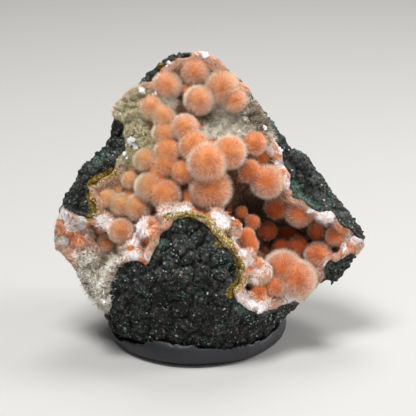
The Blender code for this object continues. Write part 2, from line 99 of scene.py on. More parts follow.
# The crust's edge in the front view, clockwise from the top
CRUST_EDGE = [
    (-6.5, 35.3), (-4.0, 36.2), (-0.2, 36.0), (3.3, 33.4), (6.5, 30.8), (8.8, 28.3), (9.8, 26.6),
    (11.7, 23.4), (14.0, 19.4), (15.7, 15.9), (17.3, 13.6), (18.0, 10.0), (19.6, 7.7), (19.3, 5.4),
    (19.9, 2.6), (22.2, 1.9), (24.3, 0.2), (25.7, -0.7), (28.0, -0.4), (29.7, -1.2), (31.3, -4.0),
    (33.2, -4.7), (34.8, -6.6), (36.2, -8.6), (35.0, -10.4), (33.4, -10.6), (30.4, -12.6),
    (28.5, -12.6), (27.3, -14.5), (26.2, -16.6), (24.6, -18.6), (22.6, -20.8), (19.9, -22.0),
    (18.0, -22.7), (15.7, -23.6), (12.6, -25.0), (8.6, -23.6), (6.3, -21.7), (5.4, -19.2),
    (7.0, -17.5), (7.5, -15.7), (6.8, -12.6), (5.6, -9.8), (3.3, -9.1), (2.3, -7.5), (0.0, -4.9),
    (-1.9, -3.0), (-4.2, -2.3), (-6.5, -2.6), (-8.2, -3.3), (-8.9, -4.9), (-11.0, -6.3),
    (-11.2, -8.2), (-12.4, -9.8), (-13.6, -12.6), (-14.4, -13.8), (-15.9, -12.6), (-17.8, -12.4),
    (-19.4, -13.1), (-21.0, -14.0), (-22.2, -16.8), (-23.4, -18.7), (-22.9, -20.3), (-22.2, -22.2),
    (-22.4, -24.0), (-24.6, -23.0), (-25.9, -21.5), (-28.5, -18.7), (-29.4, -15.0), (-32.5, -11.7),
    (-35.3, -9.1), (-35.6, -5.8), (-34.5, -2.0), (-34.0, 0.2), (-31.1, -1.2), (-28.7, -1.9),
    (-27.1, -2.1), (-26.2, -0.9), (-26.4, 0.7), (-27.6, 1.9), (-28.0, 3.7), (-28.0, 5.6),
    (-25.7, 6.5), (-23.4, 7.7), (-22.0, 9.3), (-21.7, 11.7), (-19.4, 13.1), (-19.6, 15.9),
    (-19.6, 19.4), (-21.0, 20.6), (-21.9, 22.2), (-21.0, 24.3), (-18.7, 26.6), (-16.1, 28.3),
    (-13.3, 29.4), (-11.4, 31.8), (-10.5, 33.2), (-8.9, 34.3),
]

# Spots in the front view: (right, up, reach). First the three kinds of mesolite mat
ICY = [
    (4.2, 21.5, 4.2), (8.0, 20.0, 4.5), (11.0, 21.8, 3.6), (2.0, 17.8, 3.4), (6.5, 17.4, 3.2),
    (13.5, 19.0, 3.0), (3.4, 24.6, 2.0), (-9.2, 24.6, 2.0),
]
MOSSY = [
    (-18.5, 22.5, 4.0), (-17.5, 18.0, 4.0), (-16.0, 15.0, 3.0), (-19.0, 12.0, 2.5),
    (-15.5, 26.2, 2.6), (-20.0, 17.0, 2.0),
]
SUGARY = [
    (-27.0, -13.5, 3.5), (-25.5, -17.5, 4.0), (-24.0, -21.5, 3.5), (-26.0, -21.0, 3.0),
    (-23.0, -12.0, 2.6),
]
# Olive stain on the moss, and the icy mat's darker side
OLIVE = [
    (-17.0, 17.5, 1.5), (-15.6, 16.0, 1.3), (-17.8, 14.6, 1.1), (-14.4, 18.6, 0.9), (-18.8, 20.0, 0.9),
    (-15.0, 13.6, 0.9),
]
GREY = [(11.5, 22.0, 2.8), (13.0, 19.4, 2.6), (9.0, 24.2, 1.6), (0.6, 20.8, 1.3)]
# Brown fuzz of fine needles in the deep places between the balls
FUZZY = [
    (9.0, 1.2, 3.2), (6.8, 3.4, 1.8), (12.0, -0.6, 2.2), (-6.5, 24.0, 2.0), (-8.8, 21.8, 1.8),
    (-1.0, 21.8, 1.8), (-24.5, -10.8, 1.8), (-20.8, -9.0, 1.8), (10.8, 11.8, 1.6), (12.6, 23.0, 2.4),
]
# The deep part of the hollow, where the crust is painted dark: painted shade in the recess, with a deeper orange
HOLLOW = [
    (10.5, 0.5, 3.0), (13.5, -3.0, 4.0), (16.0, -5.5, 4.5), (20.0, -7.0, 4.5), (23.0, -8.5, 3.0),
    (12.0, -8.5, 3.0),
]
# White broken thomsonite, peach streaks, yellow seam and green stain
WHITE = [
    (-32.2, -3.5, 1.6), (-30.0, -3.1, 1.8), (-33.9, -1.4, 1.2), (-33.9, -7.5, 1.2), (-31.5, -4.4, 1.3),
    (-30.8, -10.5, 1.1), (-24.3, -3.0, 1.5), (-23.4, -3.5, 1.2), (-15.2, -4.0, 1.2),
    (-15.2, -5.6, 1.5), (-16.6, -7.0, 1.2), (-17.1, -7.9, 1.0), (-20.1, -10.7, 1.3),
    (-17.5, -11.4, 1.3), (-18.7, -12.6, 0.8), (-14.0, -11.2, 0.9), (-13.6, -14.0, 0.8),
    (-9.3, -1.4, 1.1), (-7.5, -0.9, 1.3), (-5.6, -0.7, 1.3), (-1.2, -2.6, 0.8), (2.3, -2.3, 1.5),
    (3.7, -3.3, 1.3), (1.4, -4.0, 1.0), (6.5, -7.5, 0.9), (8.2, -10.3, 0.9), (9.6, -12.6, 1.1),
    (10.3, -17.5, 1.1), (7.5, -20.8, 1.1), (8.0, -21.7, 1.3), (9.8, -22.7, 1.3),
    (12.6, -23.1, 1.5), (18.7, -19.2, 0.9), (19.6, -21.0, 1.1), (17.5, 10.5, 1.6),
    (14.7, 13.1, 1.1), (15.2, 14.5, 0.9), (20.1, 12.4, 1.1), (18.2, 6.5, 1.1), (18.7, 5.1, 0.8),
    (27.1, -2.8, 1.8), (28.3, -1.2, 1.3), (24.1, -0.7, 0.8), (27.6, -13.3, 0.8),
    (34.6, -7.5, 1.1), (32.0, -9.1, 0.9), (-15.7, 27.3, 1.1), (-9.6, 34.1, 0.8), (-0.5, 35.7, 0.8),
]
PEACH = [
    (-33.9, -4.7, 1.5), (-31.1, -6.5, 2.0), (-33.2, -5.8, 1.3), (-27.6, -3.3, 1.3),
    (-30.4, -7.5, 1.8), (-12.9, -4.0, 1.2), (-13.1, -5.6, 1.2), (-14.0, -7.5, 0.9),
    (-18.7, -11.0, 0.7), (-19.9, -12.1, 0.8), (-14.5, -12.6, 1.0), (30.8, -5.6, 1.8),
    (33.6, -8.6, 1.2), (21.5, 11.2, 1.2), (20.6, 9.3, 1.0), (16.4, 11.9, 0.8), (17.3, 8.4, 1.0),
    (11.7, -12.6, 1.0), (9.8, -14.5, 0.7), (8.6, -21.5, 0.7), (11.7, -19.6, 1.4),
    (12.6, -21.5, 1.0), (-3.5, -1.2, 1.2), (0.0, -2.0, 1.0), (6.5, -3.5, 1.2),
]
SEAM = [
    (-27.3, 5.6, 1.0), (-26.2, 6.3, 1.1), (-25.0, 7.0, 1.2), (-23.8, 7.5, 1.2), (-22.4, 8.2, 1.2),
    (-21.5, 8.6, 1.0), (-27.8, 2.8, 0.9), (-27.1, 1.9, 1.0), (-26.6, 0.5, 1.0), (-26.2, -0.9, 1.0),
    (-27.1, -1.9, 0.9), (-28.0, -2.3, 0.8), (-20.8, 20.3, 0.8), (-11.0, 33.2, 0.9),
    (-9.6, -2.3, 1.0), (-8.6, -1.9, 1.0), (-7.5, -1.9, 0.9), (-6.3, -1.6, 0.9), (-5.1, -1.6, 0.9),
    (-4.0, -1.6, 0.9), (-3.0, -2.1, 0.8), (-1.2, -1.9, 0.8), (-0.5, -2.6, 0.9), (0.2, -3.5, 1.0),
    (0.9, -4.2, 1.1), (1.6, -5.1, 1.2), (2.6, -5.8, 1.4), (3.3, -6.5, 1.4), (3.0, -7.9, 1.3),
    (4.2, -7.2, 1.2), (4.9, -8.2, 1.1), (5.6, -9.1, 1.0), (6.1, -10.0, 0.9), (6.5, -11.0, 0.9),
    (7.0, -12.1, 1.0), (7.5, -13.3, 1.1), (7.7, -14.5, 1.1), (7.9, -15.9, 1.1), (7.7, -17.1, 1.0),
    (7.0, -18.2, 1.0), (6.1, -18.7, 1.1), (5.4, -19.6, 1.1), (4.9, -20.3, 0.9), (8.9, -16.5, 0.9),
    (-19.2, 17.5, 0.7), (-17.5, 18.5, 0.7), (-18.0, 13.0, 0.9), (-13.8, 15.5, 0.7),
    (-18.2, 17.0, 0.6), (-16.4, 16.6, 0.5),
]
GREEN = [
    (-12.9, -8.0, 1.1), (-11.7, -8.4, 1.1), (-10.5, -7.9, 0.9), (7.0, -23.4, 1.0),
    (8.2, -24.1, 1.0), (-34.8, -7.0, 0.9), (20.3, 5.0, 1.2), (20.6, 3.0, 1.2), (22.0, 2.0, 1.2),
    (23.5, 1.0, 1.2), (25.5, 0.4, 1.2), (14.0, 22.5, 1.0), (15.0, 20.3, 1.0), (22.2, 13.8, 1.1),
    (-24.3, 12.1, 0.8), (-26.0, 11.0, 0.8),
]
# Balls whose coat is creamy and greenish rather than white
CREAMY = [(-18.0, 9.5, 5.0), (-20.5, 3.0, 3.5), (-16.5, 14.0, 4.5), (-13.5, 20.5, 3.0)]

# Bright crystals that catch the light: (right, up, size)
SPARKLES = [
    (-18.0, 15.6, 1.5), (-17.4, 14.6, 1.1), (-19.2, 12.4, 1.0), (13.1, 18.7, 0.8), (7.0, 17.5, 0.7),
    (-25.0, -18.2, 0.8), (-15.4, 27.6, 1.1), (-26.9, -1.4, 0.7), (16.4, 13.2, 1.0), (20.8, 12.2, 0.8),
    (-24.0, -21.8, 0.9), (-9.0, 33.6, 0.7), (9.0, 21.0, 0.7), (3.0, 19.2, 0.7), (30.2, -2.4, 0.6),
    (-22.6, -19.0, 0.6), (-12.4, 26.6, 0.7), (12.0, -24.0, 0.8), (5.5, -2.6, 0.6), (-16.0, -5.0, 0.8),
]

# Sizes of the finish, in metres
CORE_SHARE = 0.87
NEEDLE_SHARE = 1.15
FLOOR_PULL = 0.0009
RIM_PULL = 0.00015
RIM_WIDTH = 0.0024
GROUND_VOXEL = 0.00041
ROCK_VOXEL = 0.00042

# noise_vector takes its offsets from this seed, and from the clock where none is set
NOISE_SEED = 5
noise.seed_set(NOISE_SEED)


def smooth_step(low, high, value):
    share = np.clip((value - low) / (high - low), 0.0, 1.0)
    return share * share * (3 - 2 * share)


def seen(right, up, depth):
    """The point, in metres, that the front view shows at right, up and that lies at a depth."""
    aim = CENTRE + np.array([right * MM, 0, 0]) + UP * (up * MM)
    share = (depth * MM - EYE[1]) / (aim[1] - EYE[1])
    return EYE + (aim - EYE) * share


def in_view(points):
    """Right and up, in millimetres, at which the front view shows each point."""
    away = points - EYE
    spot = EYE + away * (DISTANCE / (away @ LOOK))[:, None] - CENTRE
    return np.stack([spot[:, 0], spot @ UP], axis=1) / MM


def unit(vectors):
    return vectors / np.maximum(np.linalg.norm(vectors, axis=1), 1e-12)[:, None]


def rough(points, size, octaves=3, seed=0.0):
    """Fractal noise, about -1 to 1, at each point."""
    shift = Vector((seed, seed * 0.7, seed * 1.3))
    return np.array([noise.fractal(Vector(p) / size + shift, 1.0, 2.0, octaves) for p in points])


def chipped(points, size, seed):
    """For each point, how near it is to a crack between chips, and its height on its own tilted chip."""
    shift = Vector((seed, seed * 0.7, seed * 1.3))
    crack, height = np.empty(len(points)), np.empty(len(points))
    for number, point in enumerate(points):
        spot = Vector(point) / size + shift
        away, hearts = noise.voronoi(spot)
        heart = hearts[0]
        crack[number] = away[1] - away[0]
        height[number] = (spot - heart).dot(noise.noise_vector(heart * 7.3)) + 0.5 * noise.noise(heart * 5.1)
    return crack, height


def places(mesh):
    found = np.empty(len(mesh.vertices) * 3)
    mesh.vertices.foreach_get("co", found)
    return found.reshape(-1, 3)


def facings(mesh):
    found = np.empty(len(mesh.vertices) * 3)
    mesh.vertices.foreach_get("normal", found)
    return found.reshape(-1, 3)


def put_places(mesh, found):
    mesh.vertices.foreach_set("co", np.ascontiguousarray(found, np.float64).ravel())
    mesh.update()


def keep_in_box(mesh):
    """Holds the last few tips back, so that nothing leaves the box of the solids."""
    low, high = (np.array(corner) for corner in CAD_BOX)
    put_places(mesh, np.clip(places(mesh), low, high))


def mark(mesh, name, values):
    """Stores a number or a vector at each vertex, for the materials and the needles."""
    kind, field = ("FLOAT", "value") if values.ndim == 1 else ("FLOAT_VECTOR", "vector")
    stored = mesh.attributes.new(name, kind, "POINT")
    stored.data.foreach_set(field, np.ascontiguousarray(values, np.float32).ravel())


def drop_marks(mesh):
    """Removes what was stored at the vertices."""
    kept = {"position", "material_index", "sharp_face", "sharp_edge"}
    for name in [attribute.name for attribute in mesh.attributes]:
        if name not in kept and not name.startswith("."):
            mesh.attributes.remove(mesh.attributes[name])


def tree_of(mesh):
    """The mesh's faces, ready for finding the nearest or the first one met."""
    return BVHTree.FromPolygons(places(mesh).tolist(), [face.vertices[:] for face in mesh.polygons])


def object_of(name, mesh):
    obj = bpy.data.objects.new(name, mesh)
    bpy.context.scene.collection.objects.link(obj)
    return obj


def plain(obj):
    """The object with its modifiers made part of its mesh."""
    graph = bpy.context.evaluated_depsgraph_get()
    mesh = bpy.data.meshes.new_from_object(obj.evaluated_get(graph))
    obj.modifiers.clear()
    old = obj.data
    obj.data = mesh
    bpy.data.meshes.remove(old)
    return obj


def merged_copy(node, name):
    """A CAD node's shape as one closed mesh of its own."""
    bm = bmesh.new()
    bm.from_mesh(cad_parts[node].data)
    bmesh.ops.remove_doubles(bm, verts=bm.verts, dist=1e-6)
    mesh = bpy.data.meshes.new(name)
    bm.to_mesh(mesh)
    bm.free()
    mesh.materials.clear()
    return object_of(name, mesh)


def one_skin(obj, voxel, smoothing):
    remesh = obj.modifiers.new("one skin", "REMESH")
    remesh.mode = "VOXEL"
    remesh.voxel_size = voxel
    if smoothing:
        smooth = obj.modifiers.new("softened", "SMOOTH")
        smooth.iterations = smoothing
    return plain(obj)


def spots(view, given, softness=0.45):
    """How far each place of the front view lies within the given spots, from 0 to 1."""
    value = np.zeros(len(view))
    for right, up, reach in given:
        away = np.hypot(view[:, 0] - right, view[:, 1] - up) / reach
        value = np.maximum(value, 1 - smooth_step(1 - softness, 1 + softness, away))
    return value


def edge_distance(view):
    """The distance in the front view, in millimetres, from each place to the crust's edge."""
    ends = np.array(CRUST_EDGE)
    nearest = np.full(len(view), np.inf)
    for start, end in zip(ends, np.roll(ends, -1, axis=0)):
        along = end - start
        share = np.clip(((view - start) @ along) / (along @ along), 0, 1)
        gap = view - (start + share[:, None] * along)
        nearest = np.minimum(nearest, np.hypot(gap[:, 0], gap[:, 1]))
    return nearest


def nearest_of(points, centres, radii):
    """Which ball's surface is nearest to each point, and how far outside it the point lies."""
    which = np.empty(len(points), int)
    gap = np.empty(len(points))
    for start in range(0, len(points), 8192):
        part = slice(start, start + 8192)
        outside = np.linalg.norm(points[part, None, :] - centres[None], axis=2) - radii
        which[part] = outside.argmin(axis=1)
        gap[part] = outside.min(axis=1)
    return which, gap


def spaced(points, spacing):
    """The numbers of those points, tried in their order, that keep their spacing from the ones before."""
    left = np.arange(len(points))
    kept = []
    while len(left):
        first = left[0]
        kept.append(first)
        far = np.linalg.norm(points[left] - points[first], axis=1) > (spacing[left] + spacing[first]) / 2
        left = left[far]
    return np.array(kept)


# The crust
CENTRES = np.array([seen(*ball[:3]) for ball in BALLS])
TIPS = np.array([ball[3] for ball in BALLS]) * MM
LUMPS = np.array([seen(*lump[:3]) for lump in BROKEN])
LUMP_RADII = np.array([lump[3] for lump in BROKEN]) * MM


def small_balls(skin):
    """Balls that fill the crust's skin between the large ones, tried in a fixed random order."""
    p, n = places(skin), facings(skin)
    view = in_view(p)
    outside = nearest_of(p, CENTRES, TIPS)[1]
    off_lump = nearest_of(p, LUMPS, LUMP_RADII)[1]
    free = (outside > 0.7 * MM) & (off_lump > 1.2 * MM) & (edge_distance(view) > 3.5)
    free &= (n @ LOOK < 0.25) & (spots(view, ICY + MOSSY + SUGARY + FUZZY) < 0.3)
    random = np.random.default_rng(21)
    order = random.permutation(np.nonzero(free)[0])
    radii = random.uniform(1.9, 3.2, len(order)) * MM
    centres = p[order] - n[order] * (radii + 0.15 * MM)[:, None]
    kept = spaced(centres, radii * 1.5)
    return centres[kept], radii[kept]


def crust_ground():
    """What the needles stand on: the balls' orange cores, the floor between them and the broken edge."""
    ground = one_skin(merged_copy("thomsonite_mesolite_crust", "crust_ground"), GROUND_VOXEL, 1)
    more, more_tips = small_balls(ground.data)
    p, n = places(ground.data), facings(ground.data)
    view = in_view(p)
    which, outside = nearest_of(p, CENTRES, TIPS)
    lump, off_lump = nearest_of(p, LUMPS, LUMP_RADII)
    on_lump = 1 - smooth_step(0.2 * MM, 0.9 * MM, off_lump)
    rim = 1 - smooth_step(0.7 * RIM_WIDTH / MM, 1.2 * RIM_WIDTH / MM, edge_distance(view))
    broken = np.maximum(on_lump, rim * smooth_step(0.0, 0.8 * MM, outside))
    on_ball = (1 - smooth_step(0.3 * MM, 1.3 * MM, outside)) * (1 - on_lump)
    facing = np.clip(-(n @ LOOK), 0, 1)
    pull = facing * (FLOOR_PULL * (1 - broken) + RIM_PULL * broken)
    pull *= 1 - 0.8 * spots(view, ICY + MOSSY + SUGARY)
    p = p - n * pull[:, None]
    away = p - CENTRES[which]
    reach = np.linalg.norm(away, axis=1)
    inner = np.minimum(reach, TIPS[which] * CORE_SHARE - 0.3 * MM)
    p = CENTRES[which] + unit(away) * (reach + (inner - reach) * on_ball)[:, None]
    # Each broken lump has a flat face, turned a little its own way
    random = np.random.default_rng(4)
    tilts = unit(-LOOK + random.uniform(-0.55, 0.55, (len(LUMPS), 3)))
    height = ((p - LUMPS[lump]) * tilts[lump]).sum(axis=1)
    over = np.clip(height - 0.3 * LUMP_RADII[lump], 0, None) * on_lump
    p = p - tilts[lump] * (over * 0.9)[:, None]
    put_places(ground.data, p)
    centres, tips = np.concatenate([CENTRES, more]), np.concatenate([TIPS, more_tips])
    bm = bmesh.new()
    bm.from_mesh(ground.data)
    for centre, tip in zip(centres, tips):
        one = bmesh.new()
        bmesh.ops.create_icosphere(
            one, subdivisions=4, radius=tip * CORE_SHARE, matrix=Matrix.Translation(Vector(centre))
        )
        core = bpy.data.meshes.new("core")
        one.to_mesh(core)
        one.free()
        bm.from_mesh(core)
        bpy.data.meshes.remove(core)
    bm.to_mesh(ground.data)
    bm.free()
    return one_skin(ground, GROUND_VOXEL, 1), centres, tips


def read_ground(mesh, centres, tips):
    """Roughens the ground, and finds what grows at each place of it, how far and which way."""
    p, n = places(mesh), facings(mesh)
    view = in_view(p)
    wander = np.stack([rough(p, 2.2 * MM, 2, 3.1), rough(p, 2.2 * MM, 2, 9.7)], axis=1) * 0.6
    which, outside = nearest_of(p, centres, tips * CORE_SHARE)
    lump, off_lump = nearest_of(p, LUMPS, LUMP_RADII)
    on_ball = 1 - smooth_step(0.15 * MM, 0.5 * MM, outside)
    on_lump = 1 - smooth_step(0.0, 0.6 * MM, off_lump)
    rim = 1 - smooth_step(0.7 * RIM_WIDTH / MM, 1.2 * RIM_WIDTH / MM, edge_distance(view + wander))
    bare = 1 - on_ball
    icy, mossy, sugary, fuzzy = (spots(view + wander, mat) * bare for mat in (ICY, MOSSY, SUGARY, FUZZY))
    icy *= 1 - on_lump
    mats = np.maximum(np.maximum(icy, mossy), sugary)
    broken = np.clip(np.maximum(on_lump, rim) * bare * (1 - 0.9 * np.maximum(mossy, sugary)), 0, 1)
    # The fibres of a broken lump fan out from a heart inside it
    random = np.random.default_rng(8)
    hearts = LUMPS + random.uniform(-0.5, 0.5, LUMPS.shape) * LUMP_RADII[:, None]
    spoke = unit(p - hearts[lump])
    ring = np.linalg.norm(p - hearts[lump], axis=1) / LUMP_RADII[lump]
    ribs = rough(spoke + lump[:, None] * 0.37, 0.26, 2, 5.0)
    grain = rough(p, 0.8 * MM, 3, 1.7)
    swell = rough(p, 1.7 * MM, 2, 6.3)
    lift = broken * MM * (0.34 * ribs + 0.14 * grain) + mats * MM * (0.4 * grain + 0.5 * swell)
    lift += bare * (1 - broken) * (1 - mats) * 0.18 * MM * grain + on_ball * 0.11 * MM * swell
    lift *= smooth_step(-0.2, 0.3, -(n @ LOOK))
    put_places(mesh, p + n * lift[:, None])
    p, n = places(mesh), facings(mesh)
    radial = unit(p - centres[which])
    growth = unit(n * (1 - on_ball)[:, None] + radial * on_ball[:, None])
    to_tip = tips[which] * NEEDLE_SHARE - np.linalg.norm(p - centres[which], axis=1)
    reach = on_ball * np.clip(to_tip, 0, None) + (1 - on_ball) * FLOOR_PULL * (1 + 0.5 * fuzzy)
    return SimpleNamespace(
        p=p, n=n, view=view, facing=-(n @ LOOK), which=which, on_ball=on_ball, broken=broken, bare=bare,
        icy=icy, mossy=mossy, sugary=sugary, fuzzy=fuzzy, mats=mats, spoke=spoke, ring=ring, lump=lump,
        growth=growth, reach=reach, swell=swell, grain=grain,
        white=spots(view + wander, WHITE), peach=spots(view + wander, PEACH),
        seam=spots(view + wander * 0.6, SEAM) * (1 - on_ball),
        green=spots(view + wander, GREEN) * (1 - on_ball), olive=spots(view + wander, OLIVE, 0.7),
        grey=spots(view + wander, GREY, 0.6), cream=spots(view, CREAMY, 0.8),
        # Deep in the hollow the crust is marked for painted shade
        hollow=spots(view, HOLLOW, 0.6) * smooth_step(-6.0 * MM, 1.0 * MM, p[:, 1]),
        # The balls are a paler orange at the upper left and a deep one round the hollow
        deep=smooth_step(-14.0, 16.0, view[:, 0] - 0.55 * view[:, 1]),
    )


# Node helpers
class Field:
    """A number, vector or colour that comes out of a node. Operators on it add Math nodes."""

    def __init__(self, sheet, socket):
        self.sheet = sheet
        self.socket = socket

    def math(self, operation, *values):
        made = self.sheet.node("ShaderNodeMath", {"operation": operation}, dict(enumerate(values)))
        return Field(self.sheet, made.outputs[0])

    def __add__(self, other):
        return self.math("ADD", self, other)

    __radd__ = __add__

    def __sub__(self, other):
        return self.math("SUBTRACT", self, other)

    def __rsub__(self, other):
        return self.math("SUBTRACT", other, self)

    def __mul__(self, other):
        return self.math("MULTIPLY", self, other)

    __rmul__ = __mul__

    def __pow__(self, other):
        return self.math("POWER", self, other)

    def __gt__(self, other):
        return self.math("GREATER_THAN", self, other)

    def __lt__(self, other):
        return self.math("LESS_THAN", self, other)


class Sheet:
    """A node tree, with one way of adding a node to it."""

    def __init__(self, tree):
        self.tree = tree

    def node(self, kind, settings=None, inputs=None):
        made = self.tree.nodes.new(kind)
        for name, value in (settings or {}).items():
            if name == "stops":
                ramp = made.color_ramp
                ramp.elements.remove(ramp.elements[1])
                ramp.elements[0].position, ramp.elements[0].color = value[0]
                for place, colour in value[1:]:
                    ramp.elements.new(place).color = colour
            else:
                setattr(made, name, value)
        for name, value in (inputs or {}).items():
            socket = made.inputs[name]
            if isinstance(value, Field):
                self.tree.links.new(value.socket, socket)
            else:
                socket.default_value = value
        return made

    def out(self, kind, settings=None, inputs=None, output=0):
        return Field(self, self.node(kind, settings, inputs).outputs[output])

    def between(self, value, low, high):
        """0 where the value is under low and 1 where it is over high, smooth between."""
        settings = {"interpolation_type": "SMOOTHSTEP"}
        return self.out("ShaderNodeMapRange", settings, {0: value, 1: low, 2: high, 3: 0.0, 4: 1.0})


def linear(red, green, blue):
    """A colour given in 0 to 255, as the shaders want it."""
    parts = [part / 255 for part in (red, green, blue)]
    return (*[p / 12.92 if p <= 0.04045 else ((p + 0.055) / 1.055) ** 2.4 for p in parts], 1.0)


class Finish(Sheet):
    """A material as a sheet of nodes round one Principled shader."""

    def __init__(self, name, roughness):
        self.material = bpy.data.materials.new(name)
        self.material.use_nodes = True
        super().__init__(self.material.node_tree)
        self.shader = self.tree.nodes["Principled BSDF"]
        self.shader.inputs["Roughness"].default_value = roughness
        self.place = self.out("ShaderNodeTexCoord", output=3)

    def stored(self, name, output=2):
        return self.out("ShaderNodeAttribute", {"attribute_name": name}, output=output)

    def noise(self, size, detail=2.0, vector=None, offset=0.0):
        inputs = {"Vector": vector or self.place, "Scale": 1 / size, "Detail": detail, "Distortion": offset}
        return self.out("ShaderNodeTexNoise", None, inputs)

    def cells(self, size, output="Color"):
        made = self.node("ShaderNodeTexVoronoi", None, {"Vector": self.place, "Scale": 1 / size})
        return Field(self, made.outputs[output])

    def part_of(self, colour, number):
        """The red, green or blue part of a colour."""
        return self.out("ShaderNodeSeparateColor", None, {0: colour}, output=number)

    def mix(self, share, first, second):
        made = self.node("ShaderNodeMix", {"data_type": "RGBA"}, {0: share, 6: first, 7: second})
        return Field(self, made.outputs[2])

    def ramp(self, value, *stops):
        return self.out("ShaderNodeValToRGB", {"stops": stops}, {0: value})

    def feed(self, name, value):
        if isinstance(value, Field):
            self.tree.links.new(value.socket, self.shader.inputs[name])
        else:
            self.shader.inputs[name].default_value = value

    def bump(self, height, strength, distance):
        inputs = {"Height": height, "Strength": strength, "Distance": distance}
        self.feed("Normal", self.out("ShaderNodeBump", None, inputs))


# Materials
def basalt_finish():
    finish = Finish("basalt", 0.78)
    coarse = finish.noise(3.0 * MM, 3.0)
    fine = finish.noise(0.5 * MM, 4.0)
    tiny = finish.noise(0.17 * MM, 2.0)
    cells = finish.cells(0.46 * MM)
    pick, other, third = (finish.part_of(cells, number) for number in range(3))
    patch = finish.noise(5.5 * MM, 2.0, offset=0.4)
    colour = finish.mix(finish.between(fine, 0.36, 0.68), linear(8, 9, 9), linear(46, 48, 46))
    colour = finish.mix(finish.between(coarse, 0.5, 0.7) * 0.45, colour, linear(58, 56, 51))
    greens = finish.between(patch, 0.45, 0.6) * (pick > 0.66) * finish.between(tiny, 0.3, 0.6)
    colour = finish.mix(greens * 0.8, colour, linear(60, 88, 74))
    mint = finish.between(patch, 0.5, 0.62) * (pick > 0.93)
    colour = finish.mix(mint * 0.8, colour, linear(116, 156, 140))
    colour = finish.mix((pick < 0.07) * 0.8, colour, linear(88, 88, 102))
    colour = finish.mix((other > 0.92) * 0.7, colour, linear(106, 94, 72))
    colour = finish.mix((other < 0.012) * 0.9, colour, linear(180, 180, 174))
    # Upward-facing faces are painted a lighter grey-green: painted light from above
    dust = finish.stored("dust") * finish.between(fine, 0.4, 0.62)
    colour = finish.mix(dust * 0.6, colour, linear(98, 106, 96))
    # Cracks between the chips are painted near black: painted shade in the crevices
    colour = finish.mix(finish.stored("crevice") * 0.9, colour, linear(5, 5, 5))
    stain = finish.stored("green") * finish.between(fine, 0.35, 0.6)
    colour = finish.mix(stain * 0.85, colour, linear(92, 128, 110))
    seam = finish.stored("seam")
    ochre = finish.mix(finish.between(fine, 0.4, 0.7), linear(84, 66, 10), linear(168, 138, 32))
    colour = finish.mix(finish.between(seam + 0.5 * (fine - 0.5), 0.25, 0.6), colour, ochre)
    finish.feed("Base Color", colour)
    finish.feed("Roughness", 0.9 - 0.6 * finish.between(third, 0.72, 0.9))
    finish.bump(fine + 0.6 * tiny + 0.6 * pick, 1.0, 0.28 * MM)
    return finish.material


